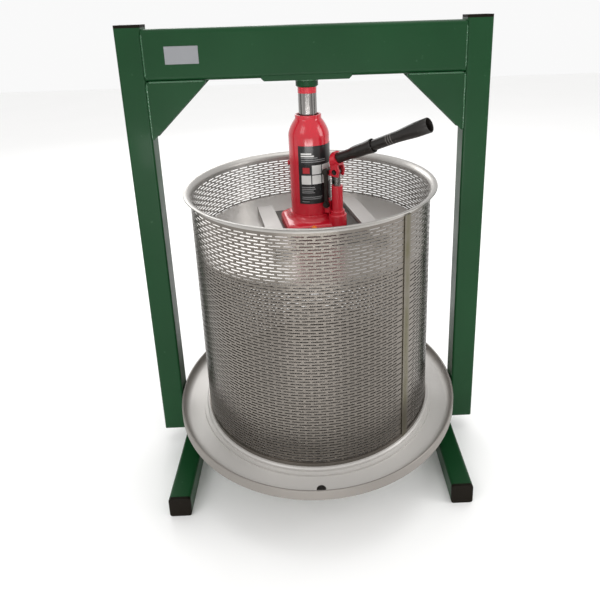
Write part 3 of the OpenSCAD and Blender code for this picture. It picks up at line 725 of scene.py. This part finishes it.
def cast_block():
    """A block with round corners that sweeps up into a skirt round the tank, with the cylinder's seat."""
    sides, sweep_steps, halvings, far = 96, 8, 40, 120.0
    angles = [TURN * i / sides for i in range(sides)]

    def reach(angle, inset):
        """Distance from the axis to the block's side, found by halving."""
        x, y = FOOT_X - FOOT_EDGE + inset, FOOT_Y - FOOT_EDGE + inset
        dx, dy = math.cos(angle), math.sin(angle)
        low, high = 0.0, far
        for _ in range(halvings):
            mid = (low + high) / 2
            px, py = abs(dx * mid), abs(dy * mid)
            ox, oy = max(px - (x - FOOT_CORNER), 0), max(py - (y - FOOT_CORNER), 0)
            inside = px <= x and py <= y and ox * ox + oy * oy <= FOOT_CORNER * FOOT_CORNER
            low, high = (mid, high) if inside else (low, mid)
        return low

    rings = [[(reach(a, inset), z) for a in angles] for z, inset in FOOT_LEVELS]
    start = [r for r, _ in rings[-1]]
    for k in range(1, sweep_steps + 1):
        turn = QUARTER * k / sweep_steps
        z = SKIRT_LOW + (FOOT_H - SKIRT_LOW) * (1 - math.cos(turn))
        rings.append([(SKIRT_R + (r - SKIRT_R) * (1 - math.sin(turn)), z) for r in start])
    rings += [[(SEAT_R, z)] * sides for z in (FOOT_H, FOOT_H - SEAT_DEPTH)]
    points = []
    for ring in rings:
        points += [(r * math.cos(a), r * math.sin(a), BASE_LOW + z) for a, (r, z) in zip(angles, ring)]
    return points, loft_faces(len(rings), sides)


def jack_foot():
    """The cast foot with the pump's bore, the boss round it and the lug for the links."""
    pump_x, pump_y, _ = PUMP.translation / MM
    block = moved(cast_block(), JACK)
    block = drilled(block, pump_x, pump_y, BORE_R, BASE_LOW + BORE_FOOT, BASE_LOW + DRILL_TOP)
    outline = [(0, 0), (BOSS_R, 0), (BOSS_R, BOSS_STRAIGHT)]
    outline += arc(BOSS_R - BOSS_EDGE, BOSS_WALL, BOSS_EDGE, 0, 90, 5)
    outline += [(COLLAR_R, BOSS_WALL + BOSS_EDGE), (COLLAR_R, COLLAR_WALL)]
    outline += arc(COLLAR_R - COLLAR_EDGE, COLLAR_WALL, COLLAR_EDGE, 0, 90, 4)
    outline += [(BORE_R, COLLAR_WALL + COLLAR_EDGE), (BORE_R, BORE_FOOT), (0, BORE_FOOT)]
    boss = lathe_mesh([(r, BASE_LOW + z) for r, z in outline], 64)
    lug_points = [(x, y, z) for x in LUG_X for y in LUG_Y for z in LUG_Z]
    lug_faces = [(0, 1, 3, 2), (4, 6, 7, 5), (0, 4, 5, 1), (2, 3, 7, 6), (0, 2, 6, 4), (1, 5, 7, 3)]
    return joined([block, moved(boss, PUMP), moved((lug_points, lug_faces), PUMP)])


piece("jack_tank", *jack_tank(), "red", "press_head", "red_paint", ["reservoir"], sharp=40)
piece("jack_foot", *jack_foot(), "red", "press_head", "red_paint", ["jack_base"], sharp=38)


# Jack label: a plain dark panel with tiles and bars, angles in degrees from the front

LABEL_LEFT, LABEL_RIGHT, PRINT_LEFT = -32, 98, -24
LABEL_R, PRINT_R = TANK_R + 0.05, TANK_R + 0.35
LABEL_THICK, PRINT_THICK = 0.3, 0.12
TILE_ROWS, TILE_COLUMNS, TILE_PITCH, TILE_W, TILE_H = (38.5, 57.5), 4, 29.5, 26.5, 17
RED_TILE, RED_IN, RED_W, RED_UP, RED_H = (1, 0), 4, 19, 2, 11
# Height above the label's foot and right end of each line; headings also have a height of their own
HEADINGS = ((95, 5, 3), (91, 12, 2.5))
BARS = ((88, 22), (84, 46), (80.5, 46), (32, 12), (28.5, 14), (25, 8), (21.5, 12))
FINE_BARS = ((13, 34), (9.5, 30), (4, -4))
BAR_H, FINE_BAR_H = 1.4, 1.2


def panel(a0, a1, z0, z1, r, thick=PRINT_THICK, steps=12):
    """A thin curved patch on the tank between two angles."""
    points, faces = [], []
    for k in range(steps + 1):
        a = math.radians(a0 + (a1 - a0) * k / steps - 90)
        for radius in (r, r + thick):
            for z in (z0, z1):
                points.append((radius * math.cos(a), radius * math.sin(a), z))
    for k in range(steps):
        b, n = 4 * k, 4 * k + 4
        faces += [(b + 2, n + 2, n + 3, b + 3), (b + 1, n + 1, n, b)]
        faces += [(b + 3, n + 3, n + 1, b + 1), (b, n, n + 2, b + 2)]
    e = 4 * steps
    faces += [(0, 2, 3, 1), (e, e + 1, e + 3, e + 2)]
    return points, faces


def printed(a0, a1, z, height):
    return panel(a0, a1, LABEL_LOW + z, LABEL_LOW + z + height, PRINT_R)


label = panel(LABEL_LEFT, LABEL_RIGHT, LABEL_LOW, LABEL_TOP, LABEL_R, LABEL_THICK, 40)
piece("label_panel", *label, "label", "press_head", "jack_label", ["jack_label"])
tiles, reds = [], []
for row, z in enumerate(TILE_ROWS):
    for column in range(TILE_COLUMNS):
        left = PRINT_LEFT + column * TILE_PITCH
        if (row, column) == RED_TILE:
            reds.append(printed(left + RED_IN, left + RED_IN + RED_W, z + RED_UP, RED_H))
        else:
            tiles.append(printed(left, left + TILE_W, z, TILE_H))
tiles += [printed(PRINT_LEFT, end, z, height) for z, end, height in HEADINGS]
bars = [printed(PRINT_LEFT, end, z, BAR_H) for z, end in BARS]
bars += [printed(PRINT_LEFT, end, z, FINE_BAR_H) for z, end in FINE_BARS]
for name, group, mat in (
    ("label_tiles", tiles, "tile"),
    ("label_tile_red", reds, "tile_red"),
    ("label_bars", bars, "tile_grey"),
):
    piece(name, *joined(group), mat, "press_head", "jack_label")


# Links between the pump's foot and the lever, with a narrow waist

LINK_TOP, LINK_FOOT, LINK_EYE, LINK_X = 608.2, 544.2, 6.5, -15.5
LINK_IN, LINK_OUT = 11.4, 15.4

strap = arc(LINK_X, LINK_TOP, LINK_EYE, -58, 238, 28) + arc(LINK_X, LINK_FOOT, LINK_EYE, 122, 418, 28)
straps = joined([prism(strap, -LINK_OUT, -LINK_IN), prism(strap, LINK_IN, LINK_OUT)])
piece("link_straps", *straps, "dark", "press_head", "dark_steel", ["link_plates"], place=PUMP)


# Release valve with a short finger tab and a slot across its face

VALVE_X, VALVE_Z = -8.0, 10.5
VALVE_R, TAB_R, TAB_UP, STEM_R = 6.5, 5.6, 4.6, 4.5
SLOT_HALF = 1.0
VALVE_FACE, SLOT_FLOOR, VALVE_BACK, STEM_END = -67.3, -65.3, -56.3, -38.0

tab = arc(0, 0, VALVE_R, 180, 360, 20) + arc(0, TAB_UP, TAB_R, 0, 180, 20)
upper_lip = [(x, z) for x, z in tab if z > SLOT_HALF]
lower_lip = [(x, z) for x, z in tab if z < -SLOT_HALF]
stem = arc(0, 0, STEM_R, 0, 345, 23)
points, faces = joined([
    prism(tab, SLOT_FLOOR, VALVE_BACK),
    prism(upper_lip, VALVE_FACE, SLOT_FLOOR),
    prism(lower_lip, VALVE_FACE, SLOT_FLOOR),
    prism(stem, VALVE_BACK, STEM_END),
])
points = [(x + VALVE_X, y, z + BASE_LOW + VALVE_Z) for x, y, z in points]
piece("valve_tab", points, faces, "orange", "valve", "orange_paint", ["release_valve"], place=JACK)


# Handle: (radius, distance from the socket) along the two tubes

TUBE_R, TUBE_WALL = 9.8, 1.6
TUBE_IN = TUBE_R - TUBE_WALL
SLEEVE_R, SLEEVE_IN, FLARE_R, EDGE_R = 11.7, 10.1, 12.9, 12.5
MOUTH_R, MOUTH_EDGE_R = 11.3, 11.6
INNER_START, INNER_END = -2.0, 89.0
OUTER_START, OUTER_LIP, OUTER_END = 53.0, 200.2, 201.0
RING_STARTS, RING_W, RING_SUNK, RING_PROUD = (120.0, 125.0, 129.5), 1.6, 0.5, 0.08
TUBE_SIDES = 64


def flare(s0, s1, r0, r1, steps=10):
    """A smooth run from one radius to another along the handle."""
    return [
        (r0 + (r1 - r0) * (0.5 - 0.5 * math.cos(math.pi * i / steps)), s0 + (s1 - s0) * i / steps)
        for i in range(steps + 1)
    ]


inner_tube = lathe_mesh([
    (TUBE_R, INNER_START),
    *flare(35, 52, TUBE_R, SLEEVE_R),
    *flare(69, 88.2, SLEEVE_R, FLARE_R),
    (EDGE_R, INNER_END),
    (SLEEVE_R, INNER_END),
    *flare(81, 69, 11.2, 10.15, 6),
    *flare(52, 35, SLEEVE_IN, TUBE_IN),
    (TUBE_IN, INNER_START),
], TUBE_SIDES)
outer_tube = lathe_mesh([
    (TUBE_R, OUTER_START),
    *flare(130, 186, TUBE_R, FLARE_R, 14),
    (FLARE_R, OUTER_LIP),
    (EDGE_R, OUTER_END),
    (MOUTH_EDGE_R, OUTER_END),
    (MOUTH_R, OUTER_LIP),
    *flare(185, 130, MOUTH_R, TUBE_IN, 14),
    (TUBE_IN, OUTER_START),
], TUBE_SIDES)
ring_in, ring_out = TUBE_R - RING_SUNK, TUBE_R + RING_PROUD
rings = []
for start in RING_STARTS:
    end = start + RING_W
    outline = [(ring_in, start), (ring_out, start), (ring_out, end), (ring_in, end)]
    rings.append(lathe_mesh(outline, TUBE_SIDES))
piece(
    "handle_inner_tube", *inner_tube, "handle", "handle", "handle_black", ["handle_inner"], place=HANDLE
)
piece(
    "handle_outer_tube", *outer_tube, "handle", "handle_end", "handle_black", ["handle_outer"], place=HANDLE
)
piece("handle_rings", *joined(rings), "worn", "handle_end", "handle_black", place=HANDLE)


# Welds of the frame

BEAD_STEP, BEAD_SIDES, BEAD_TAPER, BEAD_RIPPLE, BEAD_ROUGH = 3.2, 8, 0.35, 0.18, 0.10
NO_WELD_RUNS_ALONG = (0.31, 0.52, 0.79)
BEAD_R, THIN_BEAD_R, BOSS_BEAD_R = 2.0, 1.5, 1.8
BEAD_SUNK = 0.6
GUSSET_LEG = BEAM_LOW - GUSSET_LOW
# Gusset on the upright, gusset on the beam, beam on the upright: each run's two ends and its radius. The ends
# are measured from the corner under the beam, inwards and up.
CORNER_WELDS = (
    ((1, -3), (1, 1 - GUSSET_LEG), BEAD_R),
    ((4, -BEAD_SUNK), (GUSSET_LEG - 2, -BEAD_SUNK), BEAD_R),
    ((BEAD_SUNK, 8), (BEAD_SUNK, BEAM_TOP - BEAM_LOW - 9), THIN_BEAD_R),
)
STRIP_WELD_X, STRIP_WELD_Y, STRIP_WELD_Z = STRIP_HALF - 2, FRAME_FRONT - 4, BEAM_LOW - 0.4
BOSS_WELD_R, BOSS_WELD_Z = RAM_BOSS_R + 0.1, STRIP_LOW - 0.8
BOSS_WELD_POINTS, BOSS_SEED = 40, 90


def bead_mesh(path, radius, seed):
    """A weld bead along a line of points: a round run with scale-like ripples, thinner at its ends."""
    rng = np.random.default_rng(seed)
    path = [np.array(p, float) for p in path]
    stations = []
    for a, b in zip(path, path[1:]):
        count = max(2, int(np.linalg.norm(b - a) / (BEAD_STEP / 2)))
        stations += [a + (b - a) * i / count for i in range(count)]
    stations.append(path[-1])
    last = len(stations) - 1
    points = []
    for k, p in enumerate(stations):
        run = stations[min(k + 1, last)] - stations[max(k - 1, 0)]
        along = run / np.linalg.norm(run)
        side = np.cross(along, NO_WELD_RUNS_ALONG)
        side /= np.linalg.norm(side)
        up = np.cross(side, along)
        end = min(1.0, BEAD_TAPER + min(k, last - k) * BEAD_TAPER)
        r = radius * end * (1 + BEAD_RIPPLE * (k % 2 - 0.5) + BEAD_ROUGH * rng.standard_normal())
        for i in range(BEAD_SIDES):
            a = TURN * i / BEAD_SIDES
            points.append(tuple(p + r * (math.cos(a) * side + math.sin(a) * up)))
    return points, loft_faces(len(stations), BEAD_SIDES)


runs, seed = [], 0
for side in (-1, 1):
    for face in (-1, 1):
        y = face * (FRAME_FRONT - BEAD_SUNK)
        seed += 10
        for k, (*ends, radius) in enumerate(CORNER_WELDS):
            path = [(side * (UPRIGHT_IN - inwards), y, BEAM_LOW + up) for inwards, up in ends]
            runs.append(bead_mesh(path, radius, seed + k))
    path = [(side * STRIP_WELD_X, y, STRIP_WELD_Z) for y in (-STRIP_WELD_Y, STRIP_WELD_Y)]
    runs.append(bead_mesh(path, BEAD_R, seed + len(CORNER_WELDS)))
path = [
    (BOSS_WELD_R * math.cos(a), BOSS_WELD_R * math.sin(a), BOSS_WELD_Z)
    for a in np.linspace(0, TURN, BOSS_WELD_POINTS)
]
runs.append(bead_mesh(path, BOSS_BEAD_R, BOSS_SEED))
piece("frame_welds", *joined(runs), "weld", "frame", "green_paint", sharp=60)


# Fillet that brings the beam's face down to the strip

STRIP_THICK = BEAM_LOW - STRIP_LOW
FILLET_TOP, FILLET_FOOT = BEAM_LOW + STRIP_THICK, STRIP_HALF - STRIP_THICK
FILLET_FRONT, FILLET_BACK = -FRAME_FRONT - 0.05, -FRAME_FRONT + 6.0

fillet = [
    (-STRIP_HALF, FILLET_TOP),
    (STRIP_HALF, FILLET_TOP),
    (STRIP_HALF, BEAM_LOW),
    (FILLET_FOOT, STRIP_LOW),
    (-FILLET_FOOT, STRIP_LOW),
    (-STRIP_HALF, BEAM_LOW),
]
piece("strip_fillet", *prism(fillet, FILLET_FRONT, FILLET_BACK), "green", "frame", "green_paint")


# Tray

TRAY_EDGE = TRAY_R - 0.1
HEM_R, HEM_UP = 2.0, 16.0
BEND_FOOT, BEND_R, BEND_H, BEND_STEPS = 266.0, 14.0, 13.0, 12
DRAIN_R, DRAIN_HOLE = -(SPOUT_FRONT + SPOUT_BACK) / 2, SPOUT_R + 0.05
PATCH_FROM, PATCH_HALF, PATCH_BENDS = 252.0, 3, 7
FLOOR_RADII = [120.0, 200.0, 246.0, PATCH_FROM, 256.0, 260.0, 263.0, BEND_FOOT]


def tray_height(r):
    reach = min(max(r - BEND_FOOT, 0.0) / BEND_R, 1.0)
    return TRAY_FLOOR + BEND_H * (1 - math.sqrt(1 - reach * reach))


def tray_dish():
    """The tray: a flat floor that sweeps up into the wall, a rolled hem, a folded skirt and the drain hole.

    Both faces of the sheet are rings of columns. A patch of them in front gives way to loops round the drain.
    """
    columns = 192
    front, sheet = columns * 3 // 4, TRAY_FLOOR - TRAY_LOW
    bend = [BEND_FOOT + BEND_R * math.sin(QUARTER * k / BEND_STEPS) for k in range(1, BEND_STEPS + 1)]
    radii = FLOOR_RADII + bend
    first, last = radii.index(PATCH_FROM), radii.index(BEND_FOOT) + PATCH_BENDS
    left, right = front - PATCH_HALF, front + PATCH_HALF
    points, faces, made = [], [], {}

    def vertex(key, x, y, z):
        if key not in made:
            made[key] = len(points)
            points.append((x, y, z))
        return made[key]

    def on_ring(name, r, z, i):
        a = TURN * (i % columns) / columns
        return vertex((name, i % columns), r * math.cos(a), r * math.sin(a), z)

    def band(inner, outer, skip=()):
        for i in range(columns):
            if i not in skip:
                near = on_ring(*inner, i), on_ring(*inner, i + 1)
                faces.append((*near, on_ring(*outer, i + 1), on_ring(*outer, i)))

    def skin(a, b):
        """Joins two loops with as many points each."""
        for n in range(len(a)):
            m = (n + 1) % len(a)
            faces.append((a[n], a[m], b[m], b[n]))

    def towards_drain(side, t, start, drop):
        loop = []
        for n, outer in enumerate(start):
            x, y, _ = points[outer]
            dx, dy = x, y + DRAIN_R
            scale = t + (1 - t) * DRAIN_HOLE / math.hypot(dx, dy)
            px, py = dx * scale, dy * scale - DRAIN_R
            loop.append(vertex((side, t, n), px, py, tray_height(math.hypot(px, py)) - drop))
        return loop

    edge = [(first, i) for i in range(left, right + 1)]
    edge += [(k, right) for k in range(first + 1, last + 1)]
    edge += [(last, i) for i in range(right - 1, left - 1, -1)]
    edge += [(k, left) for k in range(last - 1, first, -1)]
    holes = []
    for side, drop in (("top", 0.0), ("low", sheet)):
        rings = [((side, k), r, tray_height(r) - drop) for k, r in enumerate(radii)]
        centre = vertex((side, "axis"), 0.0, 0.0, TRAY_FLOOR - drop)
        faces.extend((centre, on_ring(*rings[0], i), on_ring(*rings[0], i + 1)) for i in range(columns))
        for k in range(len(rings) - 1):
            band(rings[k], rings[k + 1], range(left, right) if first <= k < last else ())
        loops = [[on_ring(*rings[k], i) for k, i in edge]]
        loops += [towards_drain(side, t, loops[0], drop) for t in (0.7, 0.4, 0.18, 0.0)]
        for outer, inner in zip(loops, loops[1:]):
            skin(outer, inner)
        holes.append(loops[-1])
    skin(*holes)

    end, top_z = len(radii) - 1, tray_height(radii[-1])
    outline = arc(TRAY_EDGE - HEM_R, TRAY_LOW + HEM_UP, HEM_R, 180, 0, 10)
    outline += [(TRAY_EDGE, TRAY_LOW), (TRAY_EDGE - sheet, TRAY_LOW), (TRAY_EDGE - sheet, top_z - sheet)]
    path = [(("top", end), radii[end], top_z)]
    path += [(("hem", k), r, z) for k, (r, z) in enumerate(outline)]
    path += [(("low", end), radii[end], top_z - sheet)]
    for inner, outer in zip(path, path[1:]):
        band(inner, outer)
    return points, faces


piece("tray_dish", *tray_dish(), "steel", "frame", "stainless", ["tray_pan"], sharp=40)


# Floor and light

FLOOR_REACH, FLOOR_ROUGHNESS = 6.0, 0.7
STUDIO_LIGHT = 0.95


def stage_floor():
    data = bpy.data.meshes.new("floor")
    s = FLOOR_REACH
    data.from_pydata([(-s, -s, 0), (s, -s, 0), (s, s, 0), (-s, s, 0)], [], [(0, 1, 2, 3)])
    mat = bpy.data.materials.new("floor")
    mat.use_nodes = True
    shader = mat.node_tree.nodes["Principled BSDF"]
    pale, shade = (0.95, 0.947, 0.94, 1), (0.93, 0.927, 0.92, 1)
    tone = use(mat.node_tree, "mottle", Colour=pale, Shade=shade, Scale=2.0, Amount=0.5)
    mat.node_tree.links.new(tone, shader.inputs["Base Color"])
    shader.inputs["Roughness"].default_value = FLOOR_ROUGHNESS
    data.materials.append(mat)
    obj = bpy.data.objects.new("floor", data)
    bpy.context.scene.collection.objects.link(obj)


def area(name, place, target, size, power):
    light = bpy.data.lights.new(name, "AREA")
    light.shape = "RECTANGLE"
    light.size, light.size_y = size
    light.energy = power
    obj = bpy.data.objects.new(name, light)
    obj.location = place
    obj.rotation_euler = (Vector(target) - Vector(place)).to_track_quat("-Z", "Y").to_euler()
    bpy.context.scene.collection.objects.link(obj)


stage_floor()
world = bpy.data.worlds.new("studio")
bpy.context.scene.world = world
world.use_nodes = True
bpy.context.scene.view_settings.view_transform = "Standard"
background = world.node_tree.nodes["Background"]
background.inputs["Color"].default_value = WHITE
background.inputs["Strength"].default_value = STUDIO_LIGHT
area("key", (-1.6, -1.9, 2.3), (0, 0, 0.45), (1.2, 1.2), 12)
area("fill", (2.5, -0.7, 1.5), (0, 0, 0.45), (0.9, 1.6), 20)
area("low", (-0.1, -2.2, 0.12), (0, 0, 0.2), (1.8, 0.2), 13)
area("top", (0.2, 0.3, 2.8), (0, 0, 0.4), (2.0, 2.0), 20)
area("back", (-0.9, 2.4, 1.8), (0, 0, 0.5), (1.6, 1.0), 16)


# Camera

# The photograph is a crop from below the middle of the shot, so the lens axis meets it right of and above its
# middle. The picture's width, the focal length and the axis are in pixels.
PICTURE, FOCAL = 600.0, 537.97
AXIS_X, AXIS_Y = 319.19, 167.37
SENSOR = 36.0
EYE = (-0.00042, -0.98392, 0.89400)
YAW, PITCH, ROLL = 0.01854, 0.28437, -0.03088

camera = bpy.data.cameras.new("camera")
camera.sensor_width = SENSOR
camera.lens = SENSOR * FOCAL / PICTURE
camera.shift_x = (PICTURE / 2 - AXIS_X) / PICTURE
camera.shift_y = (AXIS_Y - PICTURE / 2) / PICTURE
eye = bpy.data.objects.new("camera", camera)
forward = Vector((math.sin(YAW) * math.cos(PITCH), math.cos(YAW) * math.cos(PITCH), -math.sin(PITCH)))
level = Vector((math.cos(YAW), -math.sin(YAW), 0))
upright = level.cross(forward)
right = math.cos(ROLL) * level + math.sin(ROLL) * upright
up = -math.sin(ROLL) * level + math.cos(ROLL) * upright
turn = Matrix((right, up, -forward)).transposed().to_4x4()
eye.matrix_world = Matrix.Translation(EYE) @ turn
bpy.context.scene.collection.objects.link(eye)
bpy.context.scene.camera = eye
